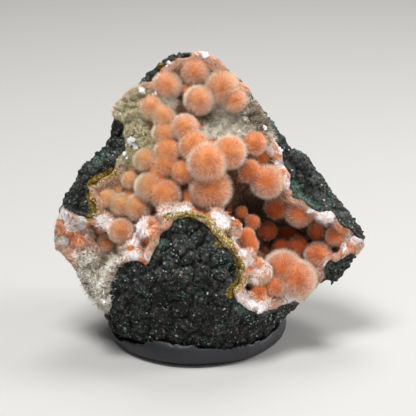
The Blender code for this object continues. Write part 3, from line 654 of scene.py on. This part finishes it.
def ground_finish():
    finish = Finish("thomsonite", 0.7)
    soft = finish.noise(2.2 * MM, 2.0)
    fine = finish.noise(0.5 * MM, 4.0)
    tiny = finish.noise(0.16 * MM, 2.0)
    fan = finish.noise(0.17, 3.0, vector=finish.stored("spoke", 1))
    pale = finish.mix(finish.between(soft, 0.35, 0.7), linear(210, 118, 54), linear(234, 152, 88))
    strong = finish.mix(finish.between(soft, 0.35, 0.7), linear(190, 82, 10), linear(226, 118, 34))
    orange = finish.mix(finish.stored("deep"), pale, strong)
    orange = finish.mix(finish.between(tiny, 0.5, 0.75) * 0.35, orange, linear(240, 176, 116))
    orange = finish.mix(finish.between(fine, 0.5, 0.3) * 0.5, orange, linear(150, 68, 16))
    orange = finish.mix(finish.stored("cream") * 0.35, orange, linear(214, 180, 128))
    # Balls in the hollow are painted a darker, deeper orange: painted shade in the recess
    orange = finish.mix(finish.stored("hollow") * 0.75, orange, linear(152, 54, 2))
    # The floor between the balls is dark brown, partly its own colour and partly painted shade between the balls
    floor = finish.mix(fine, linear(50, 26, 12), linear(132, 84, 52))
    # The floor in the hollow is painted near black: painted shade
    floor = finish.mix(finish.stored("hollow") * 0.8, floor, linear(40, 16, 4))
    floor = finish.mix(finish.stored("fuzzy") * 0.8, floor, linear(66, 46, 34))
    ice = finish.ramp(
        fine + 0.4 * (tiny - 0.5),
        (0.3, linear(104, 90, 72)), (0.43, linear(168, 158, 134)), (0.56, linear(220, 214, 196)),
    )
    moss = finish.ramp(
        fine + 0.6 * (soft - 0.5),
        (0.24, linear(78, 68, 20)), (0.33, linear(156, 142, 76)), (0.42, linear(190, 182, 146)),
        (0.66, linear(216, 212, 186)),
    )
    sugar = finish.ramp(
        fine, (0.32, linear(96, 86, 74)), (0.5, linear(164, 154, 140)), (0.66, linear(216, 212, 204))
    )
    # Bands of peach and white lie round the heart of each broken ball
    band = finish.stored("ring") + 0.5 * (fan - 0.5)
    section = finish.ramp(
        band, (0.1, linear(208, 108, 44)), (0.34, linear(222, 142, 96)), (0.42, linear(240, 230, 226)),
        (0.62, linear(240, 236, 238)), (0.7, linear(222, 150, 112)), (0.8, linear(238, 226, 220)),
        (1.0, linear(190, 166, 150)),
    )
    section = finish.mix(finish.between(fan, 0.5, 0.4) * 0.8, section, linear(214, 138, 94))
    # Dark lines between the fibres of the fans: painted shadow
    section = finish.mix(finish.between(fan, 0.62, 0.68), section, linear(120, 74, 50))
    section = finish.mix(finish.between(fine, 0.45, 0.33), section, linear(100, 64, 44))
    broken = finish.stored("broken")
    ice = finish.mix(finish.stored("grey") * 0.6, ice, linear(112, 104, 96))
    moss = finish.mix(finish.stored("olive") * finish.between(fine, 0.6, 0.45), moss, linear(92, 80, 18))
    colour = finish.mix(finish.stored("icy"), floor, ice)
    colour = finish.mix(finish.stored("mossy"), colour, moss)
    colour = finish.mix(broken, colour, section)
    colour = finish.mix(finish.stored("sugary"), colour, sugar)
    peach = finish.mix(finish.between(fan, 0.44, 0.56), linear(212, 112, 52), linear(238, 186, 148))
    colour = finish.mix(finish.stored("peach") * broken, colour, peach)
    bright = finish.mix(finish.between(fan, 0.4, 0.48), linear(218, 156, 120), linear(246, 244, 246))
    colour = finish.mix(finish.between(finish.stored("white") + 0.6 * (fine - 0.5), 0.25, 0.6), colour, bright)
    ochre = finish.ramp(
        fine + 0.6 * (tiny - 0.5),
        (0.3, linear(78, 58, 8)), (0.46, linear(128, 102, 18)), (0.6, linear(182, 160, 76)),
        (0.74, linear(226, 218, 184)),
    )
    colour = finish.mix(finish.between(finish.stored("seam") + 0.6 * (fine - 0.5), 0.3, 0.6), colour, ochre)
    colour = finish.mix(finish.stored("green") * 0.7, colour, linear(128, 152, 126))
    colour = finish.mix(finish.stored("core"), colour, orange)
    finish.feed("Base Color", colour)
    finish.feed("Roughness", 0.78 - 0.4 * finish.between(tiny, 0.55, 0.75))
    finish.feed("Sheen Weight", 0.25)
    finish.feed("Sheen Roughness", 0.45)
    finish.feed("Sheen Tint", linear(255, 226, 200))
    finish.bump(fine + 0.7 * tiny + 0.8 * fan * broken, 0.9, 0.18 * MM)
    return finish.material


def tint(name, colour, roughness=0.4, clear=0.0):
    """One tint of the needles or grains, which vary by having thousands of them in several tints."""
    finish = Finish(name, roughness)
    finish.feed("Base Color", linear(*colour))
    finish.feed("Transmission Weight", clear)
    return finish.material


def putty_finish():
    finish = Finish("dark putty", 0.52)
    mottle = finish.noise(7.0 * MM, 3.0)
    fine = finish.noise(0.35 * MM, 3.0)
    dust = finish.cells(0.8 * MM, "Distance")
    lint = (dust < 0.08) * finish.between(finish.noise(4.0 * MM, 1.0), 0.5, 0.62)
    colour = finish.mix(mottle, linear(27, 28, 32), linear(46, 47, 52))
    finish.feed("Base Color", finish.mix(lint * 0.7, colour, linear(170, 166, 162)))
    finish.feed("Roughness", 0.34 + 0.26 * mottle)
    finish.bump(fine + 2.0 * mottle, 0.35, 0.14 * MM)
    return finish.material


# Needles and grains
def coat_tree(name, tints, solid):
    """A Geometry Nodes tree that sets needles or grains on a surface, by what is stored on it."""
    tree = bpy.data.node_groups.new(name, "GeometryNodeTree")
    sheet = Sheet(tree)
    inputs = (
        ("Ground", "NodeSocketGeometry"), ("Pieces a square metre", "NodeSocketFloat"),
        ("Radius", "NodeSocketFloat"), ("Smallest share", "NodeSocketFloat"),
        ("Lean", "NodeSocketFloat"), ("Root depth", "NodeSocketFloat"),
        ("Tint spread", "NodeSocketFloat"), ("Seed", "NodeSocketInt"),
    )
    for label, kind in inputs:
        tree.interface.new_socket(label, in_out="INPUT", socket_type=kind)
    tree.interface.new_socket("Coat", in_out="OUTPUT", socket_type="NodeSocketGeometry")
    given = tree.nodes.new("NodeGroupInput")
    value = {label: Field(sheet, given.outputs[label]) for label, _ in inputs}

    def stored(attribute, kind="FLOAT"):
        return sheet.out("GeometryNodeInputNamedAttribute", {"data_type": kind}, {"Name": attribute})

    def chance(low, high, step):
        drawn = {2: low, 3: high, 8: value["Seed"] + step}
        return sheet.out("FunctionNodeRandomValue", {"data_type": "FLOAT"}, drawn, output=1)

    def chance_vector(low, high, step):
        drawn = {0: (low, low, low), 1: (high, high, high), 8: value["Seed"] + step}
        return sheet.out("FunctionNodeRandomValue", {"data_type": "FLOAT_VECTOR"}, drawn)

    def scaled(vector, share):
        return sheet.out("ShaderNodeVectorMath", {"operation": "SCALE"}, {0: vector, 3: share})

    density = stored("coat") * value["Pieces a square metre"]
    points = sheet.out(
        "GeometryNodeDistributePointsOnFaces",
        {"distribute_method": "RANDOM"},
        {"Mesh": value["Ground"], "Density": density, "Seed": value["Seed"]},
    )
    growth = stored("growth", "FLOAT_VECTOR")
    sunk = scaled(growth, 0.0 - value["Root depth"])
    points = sheet.out("GeometryNodeSetPosition", None, {"Geometry": points, "Offset": sunk})
    if solid == "needle":
        aside = scaled(chance_vector(-1.0, 1.0, 1), value["Lean"])
        way = sheet.out("ShaderNodeVectorMath", {"operation": "ADD"}, {0: growth, 1: aside})
        turn = sheet.out("FunctionNodeAlignRotationToVector", {"axis": "Z"}, {"Vector": way})
        length = stored("reach") * chance(value["Smallest share"], 1.0, 2) + value["Root depth"]
        # Most needles are fine and a few are stout
        width = value["Radius"] * (0.55 + 1.9 * chance(0.0, 1.0, 3) ** 4.0)
        size = sheet.out("ShaderNodeCombineXYZ", None, {0: width, 1: width, 2: length})
        settings = {"fill_type": "NGON"}
        sides = {"Vertices": 3, "Radius Top": 0.0, "Radius Bottom": 1.0, "Depth": 1.0}
        shape = sheet.out("GeometryNodeMeshCone", settings, sides)
    else:
        turn = chance_vector(0.0, math.tau, 1)
        size = scaled(chance_vector(0.45, 1.0, 2), value["Radius"] * chance(value["Smallest share"], 1.0, 3))
        shape = sheet.out("GeometryNodeMeshIcoSphere", None, {"Radius": 1.0, "Subdivisions": 1})
    made = sheet.out(
        "GeometryNodeInstanceOnPoints",
        None,
        {"Points": points, "Instance": shape, "Rotation": turn, "Scale": size},
    )
    # The tint is drawn for each piece, and shifts with what is stored as its tone
    drawn = stored("tone") + value["Tint spread"] * chance(-1.0, 1.0, 4)
    made = sheet.out(
        "GeometryNodeStoreNamedAttribute",
        {"data_type": "FLOAT", "domain": "INSTANCE"},
        {"Geometry": made, "Name": "drawn", "Value": drawn},
    )
    made = sheet.out("GeometryNodeRealizeInstances", None, {"Geometry": made})
    made = sheet.out("GeometryNodeSetMaterial", None, {"Geometry": made, "Material": tints[0]})
    for step, finish in enumerate(tints[1:], start=1):
        chosen = stored("drawn") > step / len(tints)
        inputs = {"Geometry": made, "Selection": chosen, "Material": finish}
        made = sheet.out("GeometryNodeSetMaterial", None, inputs)
    end = tree.nodes.new("NodeGroupOutput")
    tree.links.new(made.socket, end.inputs["Coat"])
    return tree


def grow(name, tree, carrier, count, radius, smallest, seed, lean=0.0, root=0.0, spread=0.3):
    """Needles or grains, about count of them, on the carrier mesh, as one plain mesh."""
    corners = np.empty(len(carrier.loops), np.int32)
    carrier.loops.foreach_get("vertex_index", corners)
    areas = np.empty(len(carrier.polygons))
    carrier.polygons.foreach_get("area", areas)
    starts = np.empty(len(carrier.polygons), np.int32)
    carrier.polygons.foreach_get("loop_start", starts)
    coat = np.empty(len(carrier.vertices), np.float32)
    carrier.attributes["coat"].data.foreach_get("value", coat)
    shares = np.add.reduceat(coat[corners], starts) / np.diff(np.append(starts, len(corners)))
    density = count / float((areas * shares).sum())
    obj = object_of(name, carrier)
    modifier = obj.modifiers.new("coat", "NODES")
    modifier.node_group = tree
    given = {
        "Pieces a square metre": density, "Radius": radius, "Smallest share": smallest,
        "Lean": lean, "Root depth": root, "Tint spread": spread, "Seed": seed,
    }
    for item in tree.interface.items_tree:
        if item.item_type == "SOCKET" and item.name in given:
            modifier[item.identifier] = given[item.name]
    plain(obj)
    drop_marks(obj.data)
    keep_in_box(obj.data)
    print(name, round(density / 1e6, 1), "a mm2,", len(obj.data.polygons), "faces")
    return obj


def carrier_of(mesh, coat, growth, reach, tone):
    """The part of a surface that carries one coat. A remeshed surface has four corners a face."""
    faces = np.empty(len(mesh.loops), np.int32)
    mesh.loops.foreach_get("vertex_index", faces)
    faces = faces.reshape(-1, 4)
    faces = faces[(coat[faces] > 0.01).all(axis=1)]
    left, corners = np.unique(faces, return_inverse=True)
    made = bpy.data.meshes.new("carrier")
    made.vertices.add(len(left))
    made.vertices.foreach_set("co", places(mesh)[left].ravel())
    made.loops.add(faces.size)
    made.loops.foreach_set("vertex_index", corners.astype(np.int32).ravel())
    made.polygons.add(len(faces))
    made.polygons.foreach_set("loop_start", np.arange(0, faces.size, 4, dtype=np.int32))
    made.update(calc_edges=True)
    for name, values in (("coat", coat), ("growth", growth), ("reach", reach), ("tone", tone)):
        mark(made, name, np.broadcast_to(values, growth.shape if name == "growth" else coat.shape)[left])
    return made


def free_length(tree, points, growth, reach):
    """How far a needle may grow before it meets the ground again."""
    found = reach.copy()
    for number in np.nonzero(reach > 0.0002)[0]:
        start = Vector(points[number] + growth[number] * 0.0002)
        _, _, _, far = tree.ray_cast(start, Vector(growth[number]), reach[number] * 1.2)
        if far is not None:
            found[number] = min(reach[number], far * 0.85)
    return found


def sprays(s, spacing):
    """Growth that radiates from points spaced over the mats, as in sprays of crystals."""
    random = np.random.default_rng(17)
    tried = s.p[random.permutation(np.nonzero(s.mats > 0.1)[0])]
    hearts = tried[spaced(tried, np.full(len(tried), spacing))]
    which = nearest_of(s.p, hearts, np.zeros(len(hearts)))[0]
    away = s.p - hearts[which] + s.n * (0.45 * spacing)
    return unit(away)


# The rock and its pad
def rock_skin():
    rock = one_skin(merged_copy("basalt_matrix", "basalt_rock"), ROCK_VOXEL, 1)
    mesh = rock.data
    p, n = places(mesh), facings(mesh)
    crust = tree_of(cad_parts["thomsonite_mesolite_crust"].data)
    gap = np.array([crust.find_nearest(Vector(point))[3] for point in p])
    free = smooth_step(0.3 * MM, 1.6 * MM, gap) * 0.8 + 0.2
    bend = np.stack([rough(p, 3.0 * MM, 2, seed) for seed in (4.0, 14.0, 24.0)], axis=1) * 0.8 * MM
    crack, chip = chipped(p + bend, 4.6 * MM, 2.0)
    small_crack, small_chip = chipped(p + bend, 1.5 * MM, 6.0)
    grain = rough(p, 0.8 * MM, 2, 6.0)
    crevice = 1 - smooth_step(0.02, 0.16, crack)
    small_crevice = 1 - smooth_step(0.02, 0.2, small_crack)
    lift = MM * (1.2 * chip + 0.6 * small_chip + 0.24 * grain - 0.6 * crevice - 0.3 * small_crevice)
    # Where the crust lies on the rock, the rock comes up to it
    lift = np.minimum(lift - 0.2 * MM, 0.1 * MM) * free + 0.3 * MM * (1 - smooth_step(0.2 * MM, 0.8 * MM, gap))
    put_places(mesh, p + n * lift[:, None])
    keep_in_box(mesh)
    p, n = places(mesh), facings(mesh)
    view = in_view(p)
    wander = np.stack([rough(p, 2.0 * MM, 2, 3.1), rough(p, 2.0 * MM, 2, 9.7)], axis=1) * 0.5
    close = 1 - smooth_step(1.2 * MM, 2.2 * MM, gap)
    seam = spots(view + wander, SEAM) * close
    mark(mesh, "seam", seam)
    mark(mesh, "green", spots(view + wander, GREEN, 0.6))
    # The crevice mark carries the painted shade in the cracks
    mark(mesh, "crevice", np.clip(crevice + 0.5 * small_crevice, 0, 1) * free)
    # Faces turned up are marked, in patches, for painted light from above
    mark(mesh, "dust", smooth_step(0.1, 0.8, n[:, 2]) * (0.5 + 0.5 * smooth_step(-0.3, 0.3, rough(p, 4.0 * MM, 2, 33.0))))
    mesh.shade_smooth()
    mesh.materials.append(basalt_finish())
    ride(rock, "basalt", "basalt_matrix")

    # Loose grains of minerals that catch the light
    tints = [
        tint("grains, white", (176, 176, 170), 0.3), tint("grains, lilac", (90, 88, 102), 0.4),
        tint("grains, black", (16, 17, 17), 0.2), tint("grains, dark green", (48, 70, 60), 0.35),
        tint("grains, grey", (44, 46, 45), 0.3), tint("grains, deep green", (56, 82, 70), 0.4),
        tint("grains, black glass", (24, 26, 25), 0.15), tint("grains, green", (78, 112, 94), 0.4),
        tint("grains, tan", (102, 90, 68), 0.5), tint("grains, mint", (120, 160, 144), 0.35),
    ]
    patches = smooth_step(-0.25, 0.25, rough(p, 6.0 * MM, 2, 12.0))
    coat = (0.25 + 0.75 * patches) * smooth_step(0.4 * MM, 1.0 * MM, gap) * smooth_step(1.0 * MM, 3.0 * MM, p[:, 2])
    carrier = carrier_of(mesh, coat, n, np.float32(0), np.float32(0.5))
    tree = coat_tree("mineral grains", tints, "grain")
    ride(grow("mineral_grains", tree, carrier, 4500, 0.45 * MM, 0.35, 61, root=0.08 * MM, spread=0.5), "basalt")
    return SimpleNamespace(mesh=mesh, p=p, n=n, seam=seam)


def putty():
    pad = one_skin(merged_copy("putty_pad", "display_putty"), 0.5 * MM, 3)
    p = places(pad.data)
    p[:, 2] = np.where(p[:, 2] < 0.25 * MM, 0.0, p[:, 2])
    put_places(pad.data, p)
    keep_in_box(pad.data)
    pad.data.shade_smooth()
    pad.data.materials.append(putty_finish())
    ride(pad, "dark_putty", "putty_pad")


def ride(piece, slot, *nodes):
    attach(piece, "root")
    if nodes:
        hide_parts(*nodes)


def floor():
    bm = bmesh.new()
    bmesh.ops.create_grid(bm, x_segments=1, y_segments=1, size=1.5)
    mesh = bpy.data.meshes.new("floor")
    bm.to_mesh(mesh)
    bm.free()
    put_places(mesh, places(mesh) - np.array([0, 0, 0.1 * MM]))
    finish = Finish("pale floor", 0.8)
    finish.feed("Base Color", linear(196, 195, 192))
    mesh.materials.append(finish.material)
    object_of("floor", mesh)


def aimed(obj, place, target):
    way = Vector(target) - Vector(place)
    obj.matrix_world = Matrix.Translation(Vector(place)) @ way.to_track_quat("-Z", "Y").to_matrix().to_4x4()
    bpy.context.scene.collection.objects.link(obj)
    return obj


def softbox(name, place, size, power):
    light = bpy.data.lights.new(name, "AREA")
    light.size = size
    light.energy = power
    aimed(bpy.data.objects.new(name, light), place, CENTRE)


def studio():
    world = bpy.data.worlds.new("studio")
    world.use_nodes = True
    world.node_tree.nodes["Background"].inputs["Color"].default_value = (0.9, 0.9, 0.92, 1)
    world.node_tree.nodes["Background"].inputs["Strength"].default_value = 0.15
    bpy.context.scene.world = world
    softbox("key", (-0.08, -0.13, 0.48), 0.18, 2.2)
    softbox("fill", (0.10, -0.45, 0.16), 0.36, 0.3)
    softbox("side", (0.38, 0.02, 0.20), 0.16, 1.1)
    softbox("back", (0.02, 0.24, 0.42), 0.20, 0.9)
    bpy.context.scene.view_settings.view_transform = "Standard"
    camera = bpy.data.cameras.new("camera")
    camera.sensor_width = SENSOR
    camera.lens = SENSOR * DISTANCE / VIEW_WIDTH
    camera.clip_start = 0.01
    bpy.context.scene.camera = aimed(bpy.data.objects.new("camera", camera), EYE, CENTRE)


def crust():
    ground, centres, tips = crust_ground()
    mesh = ground.data
    s = read_ground(mesh, centres, tips)
    keep_in_box(mesh)
    kept = "broken icy mossy sugary fuzzy grey olive white peach seam green cream deep hollow ring"
    for name in kept.split():
        mark(mesh, name, getattr(s, name))
    mark(mesh, "core", s.on_ball)
    mark(mesh, "spoke", s.spoke + s.lump[:, None] * 0.37)
    mesh.shade_smooth()
    mesh.materials.append(ground_finish())
    ride(ground, "thomsonite_mesolite", "thomsonite_mesolite_crust")
    print("ground", len(mesh.polygons), "faces,", len(centres), "balls")

    shown = smooth_step(-0.55, -0.1, s.facing)
    free = free_length(tree_of(mesh), s.p, s.growth, s.reach)
    room = smooth_step(0.25, 0.6, free / np.maximum(s.reach, 1e-6))
    smoky = tint("needles, smoky", (156, 130, 106))
    blush = tint("needles, blushed", (252, 226, 200))
    white = tint("needles, white", (253, 246, 238))
    straw = tint("needles, straw", (232, 222, 184))
    tree = coat_tree("needle coat", [smoky, blush, white, straw], "needle")
    floor_share = 0.5 * (1 - s.broken) * (1 - s.mats) * (1 - s.on_ball)
    # In the hollow there are fewer needles, and they lean to the smoky tint: painted shade in the recess
    coat = (s.on_ball + floor_share + s.fuzzy) * shown * (0.15 + 0.85 * room) * (1 - 0.8 * s.hollow)
    tone = 0.5 + 0.3 * s.cream - 0.3 * (1 - s.on_ball) - 0.4 * s.hollow
    ball_at = in_view(centres)[s.which]
    zone = np.select([ball_at[:, 1] > 15.5, ball_at[:, 0] < -12.0, ball_at[:, 0] < 12.5], [0, 1, 2], 3)
    for number, name in enumerate(("needles_top", "needles_left", "needles_middle", "needles_right")):
        carrier = carrier_of(mesh, coat * (zone == number), s.growth, free, tone)
        piece = grow(name, tree, carrier, 36000, 0.02 * MM, 0.7, number + 11, lean=0.1, root=0.2 * MM)
        ride(piece, "thomsonite_mesolite")

    # Sprays of mesolite crystals over the mats
    brown = tint("crystals, brown", (126, 108, 86))
    ice = tint("crystals, ice", (224, 217, 198), 0.3)
    bright = tint("crystals, bright", (250, 248, 240), 0.2)
    tree = coat_tree("mesolite sprays", [brown, ice, bright], "needle")
    tone = 0.62 + 0.35 * s.grain - 0.35 * s.grey
    carrier = carrier_of(mesh, (s.icy + 0.3 * s.sugary) * shown, sprays(s, 2.2 * MM), 1.7 * MM, tone)
    piece = grow("mesolite_sprays", tree, carrier, 7000, 0.1 * MM, 0.35, 31, lean=0.3, root=0.1 * MM)
    ride(piece, "thomsonite_mesolite")
    carrier = carrier_of(mesh, s.icy * shown, sprays(s, 1.4 * MM), 1.2 * MM, tone)
    piece = grow("mesolite_fuzz", tree, carrier, 6000, 0.035 * MM, 0.35, 37, lean=0.4, root=0.1 * MM)
    ride(piece, "thomsonite_mesolite")
    olive = tint("moss, olive", (128, 116, 60))
    creamy = tint("moss, straw", (210, 202, 162))
    pale = tint("moss, cream", (234, 228, 204))
    tree = coat_tree("mossy mesolite", [olive, creamy, pale], "needle")
    carrier = carrier_of(mesh, s.mossy * shown, sprays(s, 1.4 * MM), 0.65 * MM, 0.58 + 0.3 * s.grain)
    piece = grow("mesolite_moss", tree, carrier, 8000, 0.04 * MM, 0.35, 39, lean=0.5, root=0.1 * MM)
    ride(piece, "thomsonite_mesolite")

    # Sugary grains of mesolite at the lower left, and a few on the other mats
    tints = [
        tint("sugar, brown", (112, 98, 82), 0.5), tint("sugar, beige", (176, 166, 148), 0.4),
        tint("sugar, white", (224, 220, 212), 0.3),
    ]
    tree = coat_tree("sugary grains", tints, "grain")
    carrier = carrier_of(mesh, (s.sugary + 0.05 * s.mossy + 0.15 * s.icy) * shown, s.n, np.float32(0), tone + 0.05)
    piece = grow("mesolite_sugar", tree, carrier, 2400, 0.55 * MM, 0.35, 71, root=0.05 * MM, spread=0.4)
    ride(piece, "thomsonite_mesolite")

    # Fibres that fan out over the broken parts, coarse blades first and fine ones over them
    tints = [
        tint("fibres, orange", (214, 122, 58)), tint("fibres, peach", (228, 174, 142)),
        tint("fibres, white", (242, 238, 238), 0.3),
    ]
    tree = coat_tree("broken fibres", tints, "needle")
    coat = s.broken * smooth_step(-0.3, 0.1, s.facing) * (1 - 0.85 * s.seam) * (1 - 0.8 * s.sugary)
    across = s.spoke - s.n * (s.spoke * s.n).sum(axis=1)[:, None]
    banded = np.interp(s.ring, (0.1, 0.34, 0.42, 0.62, 0.7, 0.8, 1.0), (0.0, 0.3, 0.8, 0.85, 0.35, 0.75, 0.5))
    tone = banded + 0.5 * s.white - 0.35 * s.peach
    carrier = carrier_of(mesh, coat, unit(across + 0.04 * s.n), 1.5 * MM, tone)
    piece = grow("broken_blades", tree, carrier, 9000, 0.085 * MM, 0.4, 47, lean=0.12, root=0.1 * MM, spread=0.22)
    ride(piece, "thomsonite_mesolite")
    carrier = carrier_of(mesh, coat, unit(across + 0.35 * s.n), 0.7 * MM, tone + 0.1)
    piece = grow("broken_fibres", tree, carrier, 14000, 0.03 * MM, 0.4, 53, lean=0.35, root=0.1 * MM)
    ride(piece, "thomsonite_mesolite")
    sparkles(tree_of(mesh))
    return SimpleNamespace(mesh=mesh, s=s)


def sparkles(tree):
    """Clusters of bright crystals, set where the front view's rays meet the crust."""
    random = np.random.default_rng(91)
    bm = bmesh.new()
    for right, up, size in SPARKLES:
        way = Vector(seen(right, up, 0) - EYE).normalized()
        spot, facing, _, _ = tree.ray_cast(Vector(EYE), way)
        for _ in range(6 if spot else 0):
            place = spot + Vector(random.uniform(-1, 1, 3)) * (0.6 * size * MM) + facing * (0.35 * MM)
            turn = Vector(random.uniform(-1, 1, 3)).to_track_quat("Z", "X").to_matrix().to_4x4()
            wide = size * random.uniform(0.3, 0.6) * MM
            bmesh.ops.create_cone(
                bm, cap_ends=True, segments=6, radius1=wide, radius2=0.75 * wide,
                depth=wide * random.uniform(0.5, 1.6), matrix=Matrix.Translation(place) @ turn,
            )
    mesh = bpy.data.meshes.new("bright_crystals")
    bm.to_mesh(mesh)
    bm.free()
    mesh.materials.append(tint("crystals, clear white", (246, 246, 244), 0.1))
    keep_in_box(mesh)
    ride(object_of("bright_crystals", mesh), "thomsonite_mesolite")


def seam_grains(crust_part, rock_part):
    """Grains of the yellow seam, on the crust's side pale and on the rock's side dark."""
    tints = [
        tint("seam, ochre", (84, 62, 12), 0.55), tint("seam, olive", (128, 102, 22), 0.5),
        tint("seam, yellow", (180, 152, 60), 0.45), tint("seam, cream", (230, 222, 184), 0.4),
    ]
    tree = coat_tree("seam grains", tints, "grain")
    s = crust_part.s
    shown = smooth_step(-0.5, 0.0, s.facing)
    carrier = carrier_of(crust_part.mesh, s.seam * shown * (1 - s.mossy * 0.6), s.n, np.float32(0), np.float32(0.66))
    ride(grow("seam_grains_crust", tree, carrier, 1500, 0.3 * MM, 0.35, 81, spread=0.45), "thomsonite_mesolite")
    carrier = carrier_of(rock_part.mesh, rock_part.seam, rock_part.n, np.float32(0), np.float32(0.3))
    ride(grow("seam_grains_rock", tree, carrier, 1300, 0.3 * MM, 0.35, 83, spread=0.3), "basalt")


crust_part = crust()
rock_part = rock_skin()
seam_grains(crust_part, rock_part)
putty()
floor()
studio()
